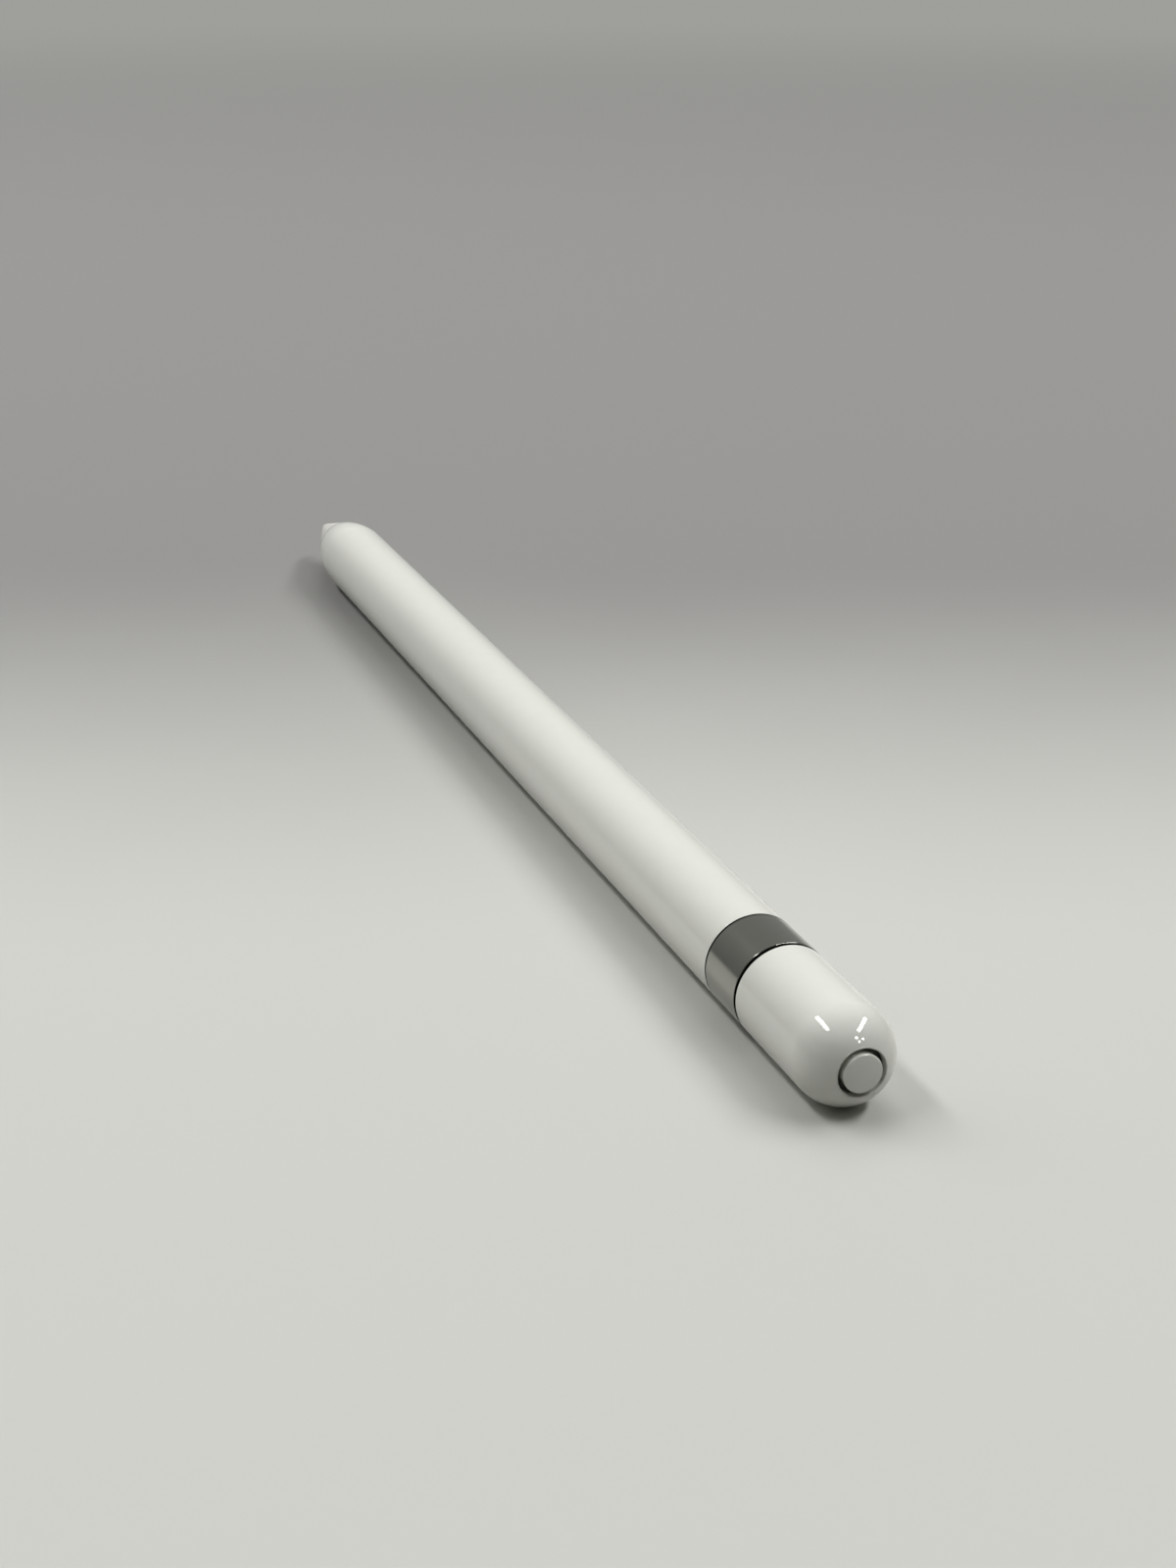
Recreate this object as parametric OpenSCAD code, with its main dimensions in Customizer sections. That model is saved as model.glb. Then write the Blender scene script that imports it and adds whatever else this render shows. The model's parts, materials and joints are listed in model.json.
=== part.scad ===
// Round tablet stylus: a white barrel with a tapered nose, a nib that screws on to a force-sensing
// shaft, a polished steel band, and a magnetic cap that pulls off a charging plug.
// The pen is drawn about its own axis, nib point at z = 0, and laid along X by lay().
// In the pen's own axes +x is the side that lies underneath.

/* [Pen] */
// Length from the nib's point to the end of the cap
total_len = 175.7; // [165:0.1:190]
// Diameter of the barrel, the band and the cap
body_d = 8.9; // [8:0.1:11]
// Wall of the barrel's straight tube
barrel_wall = 0.7; // [0.5:0.05:0.9]

/* [Nose and nib] */
// Distance from the nib's point to the corner where the taper's line meets the barrel's
nose_len = 14.3; // [13:0.1:17]
// Radius of the nib's round point
point_r = 0.8; // [0.5:0.05:1.1]
// Radius of the blend between the taper and the barrel
shoulder_r = 25; // [5:1:30]
// Length of the nib
nib_len = 9; // [8.5:0.1:10]
// Gap behind the nib, which closes as the nib is pressed
nib_gap = 0.3; // [0.25:0.05:0.5]

/* [Nib fixing] */
// Diameter of the threaded stud that the nib screws on to
stud_d = 2; // [1.6:0.1:2.2]
// Length of the threaded insert in the nib
insert_len = 4; // [3:0.1:4.5]
// Wall of the threaded insert
insert_wall = 0.6; // [0.4:0.05:0.65]
// Radial play between the threads
thread_play = 0.05; // [0.02:0.01:0.1]
// Room in the nib in front of the stud's end
stud_room = 0.4; // [0.2:0.1:0.8]

/* [Shaft and nose bush] */
// Diameter of the shaft that carries the nib
shaft_d = 2.4; // [2.3:0.1:2.8]
// Radial play of the shaft in its bush
shaft_play = 0.05; // [0.02:0.01:0.1]
// Thickness of the flange that the nib is tightened against
flange_t = 0.6; // [0.4:0.1:1]
// Radial room round that flange
flange_room = 0.5; // [0.3:0.1:0.6]
// Diameter of the bore in the nose, which holds the bush
nose_bore_d = 4.4; // [4.2:0.1:4.8]
// Length of the bush in the nose bore
bush_len = 2.7; // [2:0.1:3.5]
// Diameter of the bush's collar, the electrode and the sleeve's boss
collar_d = 5.6; // [5.2:0.1:5.8]
// Thickness of the bush's collar
collar_t = 0.8; // [0.5:0.1:1.2]
// Length of the ring electrode behind the bush
electrode_len = 3; // [2:0.1:4]
// Wall of the ring electrode
electrode_wall = 0.9; // [0.5:0.1:1.1]

/* [Force sensor] */
// Length of the sleeve's front boss
boss_front = 1.2; // [0.8:0.1:2]
// Thickness of the sleeve's front wall
sleeve_front = 1.2; // [0.8:0.1:2]
// Wall of the sleeve behind the flexure
sleeve_wall = 0.6; // [0.4:0.05:0.8]
// Radial room for the shaft in the sleeve's front wall
sleeve_room = 0.3; // [0.2:0.05:0.6]
// Depth of the chamber in front of the flexure
chamber_len = 3.2; // [2:0.1:5]
// Width of the flexure's clamped rim
rim_w = 0.5; // [0.4:0.05:0.7]
// Thickness of the flexure
flexure_t = 0.3; // [0.2:0.05:0.5]
// Radius of the flexure's hub
hub_r = 1.3; // [1.2:0.05:1.4]
// Width of a flexure arm
arm_w = 0.45; // [0.3:0.05:0.5]
// Angle that each flexure arm runs round
arm_angle = 92; // [70:1:100]
// Diameter of the shaft's end, which passes through the flexure
pin_d = 1.6; // [1.2:0.1:1.8]
// Length of the nut that holds the flexure on the shaft
nut_len = 1; // [0.6:0.1:1.2]
// Width of the nut across its corners
nut_d = 3; // [2.6:0.1:3.2]
// Length of the ring that clamps the flexure's rim
clamp_len = 1.8; // [1.6:0.1:3]
// Thickness of the sensor board
sensor_board_t = 0.8; // [0.5:0.1:1.2]
// Length of the ring that retains the sensor board
retainer_len = 1.4; // [1:0.1:2.5]

/* [Boards] */
// Wall of the half-round steel trough that carries the boards and the battery
trough_wall = 0.5; // [0.3:0.05:0.6]
// Room between the sensor and the boards for the folded flex
fold_room = 5; // [3:0.1:8]
// Length of each circuit board
board_len = 56; // [50:0.5:62]
// Thickness of each circuit board
board_t = 0.6; // [0.4:0.05:0.8]
// Distance between the boards
board_space = 2; // [1.9:0.1:2.2]
// Room between a board's edges and the trough
board_room = 0.1; // [0.05:0.05:0.3]
// Width of the carrier's rails under the boards' edges
rail_w = 0.5; // [0.3:0.05:0.6]
// Thickness of the carrier's cross bars
bar_t = 1; // [0.6:0.1:1.5]
// Height of the shield can on the lower board
can_h = 1; // [0.6:0.1:1.1]
// Length of the shield can
can_len = 12; // [6:0.5:20]
// Sheet thickness of the shield can
can_t = 0.15; // [0.1:0.05:0.25]

/* [Flexes] */
// Thickness of the flat flexes
flex_t = 0.2; // [0.1:0.05:0.2]
// Width of the tip flex and the plug flex
flex_w = 1.6; // [1:0.1:1.8]
// Width of the flex that joins the boards
fold_w = 3.6; // [2:0.1:4]
// Length over which a flex or a tab is soldered down
solder_len = 4; // [2:0.1:5]
// Thickness of the antenna film
film_t = 0.1; // [0.05:0.05:0.1]
// Length of the antenna film
film_len = 26; // [15:0.5:35]
// Angle that the antenna film runs round the barrel
film_angle = 110; // [60:5:150]

/* [Battery] */
// Room between the boards and the battery for its tabs
tab_room = 4.8; // [4:0.1:8]
// Thickness of the battery's end insulators
insulator_t = 0.4; // [0.2:0.05:0.6]
// Diameter of the front insulator, which leaves the can's rim bare
insulator_d = 4.4; // [4:0.1:4.6]
// Diameter of the battery's button
button_d = 2.4; // [1.6:0.1:3]
// Distance of the can's bead from its front end
bead_pos = 2.4; // [1.5:0.1:4]
// Radius of the bead
bead_r = 0.5; // [0.3:0.05:0.6]
// Depth of the bead
bead_depth = 0.3; // [0.1:0.05:0.4]
// Thickness of the battery's tabs
tab_t = 0.15; // [0.1:0.05:0.2]
// Width of the battery's tabs
tab_w = 1.2; // [0.8:0.1:1.6]
// Room behind the battery for the plug flex
flex_room = 1.4; // [1:0.1:3]

/* [Band and plug] */
// Length of the steel band
band_len = 6.4; // [5:0.1:9]
// Length of the plug housing in the barrel
spigot_len = 8.5; // [6:0.1:12]
// Wall of the housing round the pocket behind the plug
spigot_wall = 1; // [0.8:0.05:1.1]
// Depth of solid housing in front of the band
web_t = 2; // [1:0.1:3]
// Length of the housing's boss past the band
boss_len = 2; // [1:0.1:3]
// Thickness of the plug
plug_t = 1.5; // [1.3:0.05:1.8]
// Length of the plug past the boss
plug_len = 6.65; // [6:0.05:7.5]
// Radius of the plug's front corners
plug_corner_r = 1.2; // [0.8:0.1:1.6]
// How much narrower than the plug its shank is, on each side
shank_step = 0.85; // [0.7:0.05:1.2]
// Length of the shank past the housing's web
shank_tail = 2; // [1:0.1:3]
// Metal left on each side of the contact window
window_side = 0.75; // [0.6:0.05:0.9]
// Length of the contact window
window_len = 3.2; // [3:0.05:3.6]
// Distance of the contact window from the plug's front
window_margin = 0.9; // [0.6:0.05:1.2]
// Number of contacts on each face
contact_count = 8; // [4:1:8]
// Plastic left on each side of the row of contacts
contact_side = 0.24; // [0.1:0.02:0.4]
// Width of a contact
contact_w = 0.38; // [0.2:0.01:0.42]
// Length of a contact
contact_len = 2.6; // [2:0.05:2.8]
// Depth of a contact in the insert
contact_t = 0.15; // [0.1:0.05:0.3]
// Radius of the latch notches in the plug's sides
notch_r = 0.6; // [0.4:0.05:0.8]
// Depth of the latch notches
notch_depth = 0.3; // [0.1:0.05:0.4]
// Distance of the latch notches from the boss
notch_pos = 1.6; // [1:0.1:1.8]

/* [Cap] */
// Length from the band to the end of the cap
cap_len = 15.65; // [15:0.05:18]
// Wall of the cap beside the plug
cap_wall = 0.9; // [0.8:0.05:1]
// Seam between the band and the cap's shell
seam = 0.2; // [0.1:0.05:0.4]
// Radial room between the plug and the cap's bore
plug_room = 0.2; // [0.1:0.05:0.25]
// Radial room between the boss and the cap's bore
boss_room = 0.15; // [0.05:0.05:0.2]
// Wall of the ring magnet in the cap's mouth
magnet_wall = 0.4; // [0.3:0.05:0.45]
// Length of the ring magnet
magnet_len = 3.2; // [2:0.1:5]
// Thickness of the cap's closed end
cap_end_t = 3.1; // [2.6:0.1:3.4]
// Radius of the corner at the end of the cap's bore
bore_corner_r = 1.5; // [1:0.1:2]
// Diameter of the end ring
end_ring_d = 4.15; // [4:0.05:5]
// Width of the end ring
end_ring_w = 0.34; // [0.2:0.02:0.5]
// Depth of the end ring's seat below the cap's end
end_ring_depth = 1.5; // [1.2:0.05:1.8]
// How far the end ring lies below the cap's surface
end_ring_drop = 0.65; // [0:0.05:0.8]
// Radius of the end disc's domed face
disc_dome_r = 11; // [5:0.5:20]
// Diameter of the end disc's stem
stem_d = 2; // [1.4:0.1:2.6]

/* [Fits] */
// Radial gap of pieces that are bonded in place
glue_gap = 0.05; // [0.02:0.01:0.05]
// Gap of pressed trim
trim_gap = 0.03; // [0.01:0.01:0.05]

/* [Hidden] */
$fn = 96;
over = 1;
arm_count = 3;

body_r = body_d / 2;
bore_r = body_r - barrel_wall;

// Taper: a line that touches the round point and meets the barrel's line nose_len from the point
taper_run = nose_len - point_r;
taper_a = acos(point_r / norm([body_r, taper_run])) - atan2(taper_run, body_r);
point_z = point_r * (1 - sin(taper_a));
point_x = point_r * cos(taper_a);
blend_len = shoulder_r * tan(taper_a / 2);
blend_z0 = nose_len - blend_len * cos(taper_a);
blend_z1 = nose_len + blend_len;
blend_x0 = body_r - blend_len * sin(taper_a);

// Places along the axis, from the nib's point
z_insert = nib_len - insert_len;
z_barrel = nib_len + nib_gap;
z_flange = nib_len + flange_t;
z_bush = z_flange + nib_gap;
z_seat = z_bush + bush_len;
z_electrode = z_seat + collar_t;
z_boss_front = z_electrode + electrode_len;
z_sleeve = z_boss_front + boss_front;
z_chamber = z_sleeve + sleeve_front;
z_flexure = z_chamber + chamber_len;
z_clamp = z_flexure + flexure_t;
z_sensor_board = z_clamp + clamp_len;
z_retainer = z_sensor_board + sensor_board_t;
z_trough = z_retainer + retainer_len;
z_board = z_trough + fold_room;
z_board_end = z_board + board_len;

z_band_end = total_len - cap_len;
z_band = z_band_end - band_len;
z_housing = z_band - spigot_len;
z_web = z_band - web_t;
z_shank = z_web - shank_tail;
z_plug = z_band_end + boss_len;
z_plug_end = z_plug + plug_len;
z_window_end = z_plug_end - window_margin;
z_window = z_window_end - window_len;

z_can = z_board_end + tab_room;
z_can_end = z_housing - flex_room - insulator_t;
z_button = z_can - insulator_t;

z_mouth = z_band_end + seam;
z_cap_bore_end = total_len - cap_end_t;
z_end_ring = total_len - end_ring_depth;

// Radii that follow from the fits
insert_d = stud_d + 2 * thread_play + 2 * insert_wall;
flange_d = nose_bore_d - 2 * flange_room;
sleeve_r = bore_r - glue_gap;
sleeve_bore_r = sleeve_r - sleeve_wall;
rim_r = sleeve_bore_r - glue_gap;
chamber_r = rim_r - rim_w;
spigot_r = bore_r - glue_gap;
trough_r = bore_r - glue_gap;
trough_bore_r = trough_r - trough_wall;
battery_r = trough_bore_r - glue_gap;
cap_bore_d = body_d - 2 * cap_wall;
plug_w = cap_bore_d - 2 * plug_room;
shank_w = plug_w - 2 * shank_step;
window_w = plug_w - 2 * window_side;
contact_pitch = (window_w - 2 * contact_side - contact_w) / (contact_count - 1);
magnet_d = cap_bore_d + 2 * magnet_wall;
neck_d = cap_bore_d - 2 * boss_room;
end_disc_r = end_ring_d / 2 - end_ring_w - trim_gap;

// The cap's round end is placed so that the end disc's rim lies level with it
disc_sag = disc_dome_r - sqrt(pow(disc_dome_r, 2) - pow(end_disc_r, 2));
z_dome = total_len - disc_sag - sqrt(pow(body_r, 2) - pow(end_disc_r, 2));

// Boards lie across the trough, one above and one below the axis
board_in = board_space / 2;
board_out = board_in + board_t;
board_half_w = sqrt(pow(trough_bore_r, 2) - pow(board_out, 2)) - board_room;
rail_in = board_half_w - rail_w;
can_half_w = sqrt(pow(trough_bore_r, 2) - pow(board_out + can_h, 2)) - board_room;

// Chips on the boards' inner faces: distance from the board's front, length, margin to the rail, height
upper_chips = [
    [4, 6, 0.6, 0.8], [11, 5, 0.7, 0.7], [17, 4, 0.9, 0.7], [28, 8, 0.6, 0.8], [37, 4, 1, 0.6]
];
lower_chips = [
    [5, 4, 0.7, 0.8], [10, 7, 0.6, 0.7], [18, 3, 1, 0.9], [28.5, 5, 0.7, 0.8], [34.5, 6, 0.6, 0.7]
];
// Small parts stand in a row in front of the soldered ends: length, margin to the rail, height
small_part = [0.6, 1.6, 0.35];
small_pitch = 1;
small_count = 4;
small_gap = 0.6;
mid_bar_pos = 26;
can_pos = 8;

// Lays the pen on its side along X, resting on the plane z = 0 and centred over the origin
module lay() {
    translate([-total_len / 2, 0, body_r]) rotate([0, 90, 0]) children();
}

module rod(d, z0, z1) {
    translate([0, 0, z0]) cylinder(d = d, h = z1 - z0);
}

module ring(d_out, d_in, z0, z1) {
    difference() {
        rod(d_out, z0, z1);
        rod(d_in, z0 - over, z1 + over);
    }
}

// Block between two places on each axis
module slab(x, y, z) {
    translate([x[0], y[0], z[0]]) cube([x[1] - x[0], y[1] - y[0], z[1] - z[0]]);
}

// Part of a tube: from angle a0 on through span degrees
module arc_wall(r_out, t, z0, z1, a0, span) {
    rotate([0, 0, a0]) rotate_extrude(angle = span) translate([r_out - t, z0]) square([t, z1 - z0]);
}

// Piece turned about the pen's axis from half of its outline, with the seam on its side
module turned() {
    rotate([0, 0, 90]) rotate_extrude() children();
}

// Flat strip of width w, bent square along [x, z] points on its middle line
module bent_strip(path, t, w) {
    for (i = [0 : len(path) - 2]) {
        a = path[i];
        b = path[i + 1];
        slab(
            [min(a[0], b[0]) - t / 2, max(a[0], b[0]) + t / 2],
            [-w / 2, w / 2],
            [min(a[1], b[1]) - t / 2, max(a[1], b[1]) + t / 2]
        );
    }
}

// Quarter disc that fills a corner, with its centre at c
module quarter(c, r) {
    intersection() {
        translate(c) circle(r = r);
        translate(c) square(2 * r);
    }
}

// Half of the outline of nib and barrel as one smooth form: round point, taper, blend, straight
module pen_outline() {
    intersection() {
        translate([0, point_r]) circle(r = point_r);
        translate([0, -over]) square([2 * point_r, point_z + over]);
    }
    polygon([[0, point_z], [point_x, point_z], [blend_x0, blend_z0], [0, blend_z0]]);
    intersection() {
        translate([body_r - shoulder_r, blend_z1]) circle(r = shoulder_r);
        translate([0, blend_z0]) square([body_d, blend_z1 - blend_z0]);
    }
    translate([0, blend_z1]) square([body_r, total_len - blend_z1]);
}

module pen_outline_between(z0, z1) {
    intersection() {
        pen_outline();
        translate([0, z0]) square([body_d, z1 - z0]);
    }
}

module nib_shell() {
    color("#f2f2ee") lay() difference() {
        turned() pen_outline_between(-over, nib_len);
        rod(insert_d + 2 * glue_gap, z_insert, nib_len + over);
        rod(stud_d + 2 * thread_play, z_insert - stud_room, nib_len);
    }
}

module nib_insert() {
    color("#c9a552") lay() ring(insert_d, stud_d + 2 * thread_play, z_insert, nib_len);
}

module tip_shaft() {
    color("#a8abae") lay() {
        rod(stud_d, z_insert, nib_len);
        rod(flange_d, nib_len, z_flange);
        rod(shaft_d, z_flange, z_flexure);
        rod(pin_d, z_flexure, z_clamp + nut_len);
    }
}

module shaft_nut() {
    color("#8d9094") lay() difference() {
        translate([0, 0, z_clamp]) cylinder(d = nut_d, h = nut_len, $fn = 6);
        rod(pin_d + 2 * trim_gap, z_clamp - over, z_clamp + nut_len + over);
    }
}

module barrel_tube() {
    nose_bore_r = nose_bore_d / 2;
    seat_r = collar_d / 2 + glue_gap;
    color("#f2f2ee") lay() turned() difference() {
        pen_outline_between(z_barrel, z_band);
        polygon([
            [0, z_barrel - over], [nose_bore_r, z_barrel - over], [nose_bore_r, z_seat], [seat_r, z_seat],
            [bore_r, z_sleeve], [bore_r, z_band + over], [0, z_band + over]
        ]);
    }
}

module nose_bush() {
    color("#3a3b3d") lay() difference() {
        union() {
            rod(nose_bore_d - 2 * glue_gap, z_bush, z_seat);
            rod(collar_d, z_seat, z_electrode);
        }
        rod(shaft_d + 2 * shaft_play, z_bush - over, z_electrode + over);
    }
}

module ring_electrode() {
    color("#b87345") lay() ring(collar_d, collar_d - 2 * electrode_wall, z_electrode, z_boss_front);
}

// Cup that holds the flexure: a boss against the electrode, a chamber and a wider seat behind it
module sensor_sleeve() {
    color("#b9bcc0") lay() difference() {
        union() {
            rod(collar_d, z_boss_front, z_sleeve);
            rod(2 * sleeve_r, z_sleeve, z_trough);
        }
        rod(shaft_d + 2 * sleeve_room, z_boss_front - over, z_trough);
        rod(2 * chamber_r, z_chamber, z_trough);
        rod(2 * sleeve_bore_r, z_flexure, z_trough + over);
    }
}

// Three curved arms carry a hub inside a clamped rim
module force_flexure() {
    arm_r = (hub_r + chamber_r + arm_w) / 2;
    color("#c7c9cc") lay() difference() {
        union() {
            ring(2 * rim_r, 2 * chamber_r, z_flexure, z_clamp);
            rod(2 * hub_r, z_flexure, z_clamp);
            for (k = [1 : arm_count]) rotate([0, 0, k * 360 / arm_count]) {
                arc_wall(arm_r, arm_w, z_flexure, z_clamp, 0, arm_angle);
                slab([0, arm_r - arm_w / 2], [0, arm_w], [z_flexure, z_clamp]);
                rotate([0, 0, arm_angle])
                    slab([arm_r - arm_w / 2, rim_r - rim_w / 2], [-arm_w, 0], [z_flexure, z_clamp]);
            }
        }
        rod(pin_d + 2 * shaft_play, z_flexure - over, z_clamp + over);
    }
}

module clamp_ring() {
    color("#8d9094") lay() ring(2 * rim_r, 2 * chamber_r, z_clamp, z_sensor_board);
}

module sensor_board() {
    color("#2f6b46") lay() ring(2 * rim_r, pin_d, z_sensor_board, z_retainer);
}

module sensor_retainer() {
    color("#3a3b3d") lay() ring(2 * rim_r, 2 * chamber_r, z_retainer, z_trough);
}

module tip_flex() {
    x_up = -board_out - flex_t / 2;
    z_face = z_retainer + flex_t / 2;
    color("#b5782f") lay() bent_strip(
        [[pin_d, z_face], [x_up, z_face], [x_up, z_board + solder_len]], flex_t, flex_w
    );
}

module chassis_trough() {
    color("#a8abae") lay() arc_wall(trough_r, trough_wall, z_trough, z_housing, -90, 180);
}

// Ladder frame: two rails under the boards' edges and two cross bars, open towards the battery
module board_carrier() {
    gap = [-rail_in, rail_in];
    across = [-body_r, body_r];
    color("#d8d8d2") lay() difference() {
        intersection() {
            rod(2 * (trough_bore_r - glue_gap), z_board, z_board_end);
            slab([-board_in, board_in], across, [z_board, z_board_end]);
        }
        slab(across, gap, [z_board + bar_t, z_board + mid_bar_pos]);
        slab(across, gap, [z_board + mid_bar_pos + bar_t, z_board_end + over]);
    }
}

module circuit_board(x) {
    slab(x, [-board_half_w, board_half_w], [z_board, z_board_end]);
}

module lower_board() {
    color("#2f6b46") lay() circuit_board([board_in, board_out]);
}

module upper_board() {
    color("#2f6b46") lay() circuit_board([-board_out, -board_in]);
}

// Half turn of flex that joins the two boards at their front ends
module board_flex() {
    color("#b5782f") lay() translate([0, 0, z_board]) rotate([-90, 0, 0]) rotate_extrude(angle = 180)
        translate([board_out - flex_t, -fold_w / 2]) square([flex_t, fold_w]);
}

// One part on the inner face of the board on the given side, -1 above and 1 below
module chip(side, z, size) {
    face = side * board_in;
    top = face - side * size[2];
    half_w = rail_in - size[1];
    slab([min(face, top), max(face, top)], [-half_w, half_w], [z, z + size[0]]);
}

module board_chips() {
    color("#2b2c2e") lay() {
        for (c = upper_chips) chip(-1, z_board + c[0], [c[1], c[2], c[3]]);
        for (c = lower_chips) chip(1, z_board + c[0], [c[1], c[2], c[3]]);
        for (side = [-1, 1], i = [1 : small_count])
            chip(side, z_board_end - solder_len - small_gap - i * small_pitch, small_part);
    }
}

module shield_can() {
    z0 = z_board + can_pos;
    color("#c7c9cc") lay() difference() {
        slab([board_out, board_out + can_h], [-can_half_w, can_half_w], [z0, z0 + can_len]);
        slab(
            [board_out - over, board_out + can_h - can_t],
            [-can_half_w + can_t, can_half_w - can_t],
            [z0 + can_t, z0 + can_len - can_t]
        );
    }
}

// Can with a rolled bead near its front end and a button
module battery_cell() {
    color("#9fb4c6") lay() turned() difference() {
        union() {
            translate([0, z_can]) square([battery_r, z_can_end - z_can]);
            translate([0, z_button]) square([button_d / 2, insulator_t]);
        }
        translate([battery_r + bead_r - bead_depth, z_can + bead_pos]) circle(r = bead_r);
    }
}

module battery_insulators() {
    color("#d7b94a") lay() {
        ring(insulator_d, button_d + 2 * glue_gap, z_button, z_can);
        rod(2 * battery_r, z_can_end, z_can_end + insulator_t);
    }
}

// One tab from the button to the lower board's inner face, one from the can's rim to its outer face
module battery_tabs() {
    half = tab_t / 2;
    x_rim = insulator_d / 2 + trim_gap + half;
    z_step = (z_board_end + z_button) / 2;
    color("#b9bcc0") lay() {
        bent_strip(
            [[-button_d / 4, z_button - half], [board_in - half, z_button - half],
             [board_in - half, z_board_end - solder_len]], tab_t, tab_w
        );
        bent_strip(
            [[battery_r - 2 * tab_t, z_can - half], [x_rim, z_can - half], [x_rim, z_step],
             [board_out + half, z_step], [board_out + half, z_board_end - solder_len]], tab_t, tab_w
        );
    }
}

module antenna_film() {
    color("#b87345") lay() arc_wall(
        bore_r - glue_gap, film_t, z_can_end - film_len, z_can_end, 180 - film_angle / 2, film_angle
    );
}

// Runs from the upper board over the battery and down on to the plug's shank
module plug_flex() {
    half = flex_t / 2;
    x_board = -board_out - half;
    x_over = -battery_r - trim_gap - half;
    x_plug = -plug_t / 2 - half;
    z_rise = (z_board_end + z_button) / 2;
    z_fall = z_housing - flex_room / 2;
    color("#b5782f") lay() bent_strip(
        [[x_board, z_board_end - solder_len], [x_board, z_rise], [x_over, z_rise], [x_over, z_fall],
         [x_plug, z_fall], [x_plug, z_shank + shank_tail / 2]], flex_t, flex_w
    );
}

// Spigot in the barrel, neck through the band and boss in the cap, slotted for the plug's shank
module plug_housing() {
    slot_x = plug_t / 2 + trim_gap;
    slot_y = shank_w / 2 + trim_gap;
    color("#e6e6e1") lay() difference() {
        union() {
            rod(2 * spigot_r, z_housing, z_band);
            rod(neck_d, z_band, z_plug);
        }
        rod(2 * (spigot_r - spigot_wall), z_housing - over, z_web);
        slab([-slot_x, slot_x], [-slot_y, slot_y], [z_web - over, z_plug + over]);
    }
}

module steel_band() {
    inner_r = neck_d / 2 + trim_gap;
    color("#b4b7bb") lay() turned() translate([inner_r, z_band]) square([body_r - inner_r, band_len]);
}

// Cross-section of the plug: flat faces and fully round sides
module plug_section() {
    flat = plug_w - plug_t;
    square([plug_t, flat], center = true);
    for (side = [0, 180]) rotate(side) intersection() {
        translate([0, flat / 2]) circle(d = plug_t);
        translate([-plug_t, flat / 2]) square(2 * plug_t);
    }
}

// Plan of the plug, seen on its flat face: round front corners that run out through the sides
module plug_plan() {
    flat = plug_w / 2 - plug_corner_r + notch_depth / 2;
    square_len = plug_len - plug_corner_r;
    translate([-plug_w, 0]) square([2 * plug_w, square_len]);
    translate([-flat, square_len]) square([2 * flat, plug_corner_r]);
    quarter([flat, square_len], plug_corner_r);
    mirror([1, 0]) quarter([flat, square_len], plug_corner_r);
}

module plug_shell() {
    notch_y = plug_w / 2 + notch_r - notch_depth;
    color("#c7c9cc") lay() difference() {
        union() {
            translate([0, 0, z_plug]) intersection() {
                linear_extrude(plug_len + over) plug_section();
                translate([-plug_t, 0, 0]) rotate([90, 0, 90]) linear_extrude(2 * plug_t) plug_plan();
            }
            slab([-plug_t / 2, plug_t / 2], [-shank_w / 2, shank_w / 2], [z_shank, z_plug]);
        }
        slab([-plug_t, plug_t], [-window_w / 2, window_w / 2], [z_window, z_window_end]);
        for (side = [-1, 1]) translate([-plug_t, side * notch_y, z_plug + notch_pos])
            rotate([0, 90, 0]) cylinder(r = notch_r, h = 2 * plug_t);
    }
}

// One contact on the given face, -1 above and 1 below
module contact(side, i) {
    y = (i - (contact_count - 1) / 2) * contact_pitch;
    z = (z_window + z_window_end) / 2;
    face = side * plug_t / 2;
    back = face - side * contact_t;
    slab(
        [min(face, back), max(face, back)],
        [y - contact_w / 2, y + contact_w / 2],
        [z - contact_len / 2, z + contact_len / 2]
    );
}

module contacts() {
    for (side = [-1, 1], i = [0 : contact_count - 1]) contact(side, i);
}

module plug_insert() {
    color("#2b2c2e") lay() difference() {
        slab([-plug_t / 2, plug_t / 2], [-window_w / 2, window_w / 2], [z_window, z_window_end]);
        contacts();
    }
}

module plug_contacts() {
    color("#d4af4a") lay() contacts();
}

// Straight wall and round end of the cap
module cap_outline() {
    straight = z_dome - z_mouth;
    translate([0, z_dome]) {
        translate([0, -straight]) square([body_r, straight]);
        quarter([0, 0], body_r);
    }
}

// Magnet seat, bore with a round corner, stem hole and ring seat
module cap_hollow() {
    bore = cap_bore_d / 2;
    corner = [bore - bore_corner_r, z_cap_bore_end - bore_corner_r];
    seat_len = z_band_end + magnet_len - z_mouth;
    translate([0, z_mouth - over]) square([magnet_d / 2 + glue_gap, seat_len + over]);
    translate([0, z_mouth]) square([bore, corner[1] - z_mouth]);
    translate([0, corner[1]]) square([corner[0], bore_corner_r]);
    quarter(corner, bore_corner_r);
    translate([0, corner[1]]) square([stem_d / 2 + trim_gap, z_end_ring - corner[1]]);
    translate([0, z_end_ring]) square([end_ring_d / 2 + trim_gap, end_ring_depth + over]);
}

module cap_shell() {
    color("#f2f2ee") lay() turned() difference() {
        cap_outline();
        cap_hollow();
    }
}

module cap_magnet() {
    color("#55585c") lay() ring(magnet_d, cap_bore_d, z_band_end, z_band_end + magnet_len);
}

module cap_end_ring() {
    color("#b4b7bb") lay() turned() intersection() {
        translate([end_ring_d / 2 - end_ring_w, z_end_ring]) square([end_ring_w, end_ring_depth]);
        translate([0, z_dome]) circle(r = body_r - end_ring_drop);
    }
}

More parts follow.
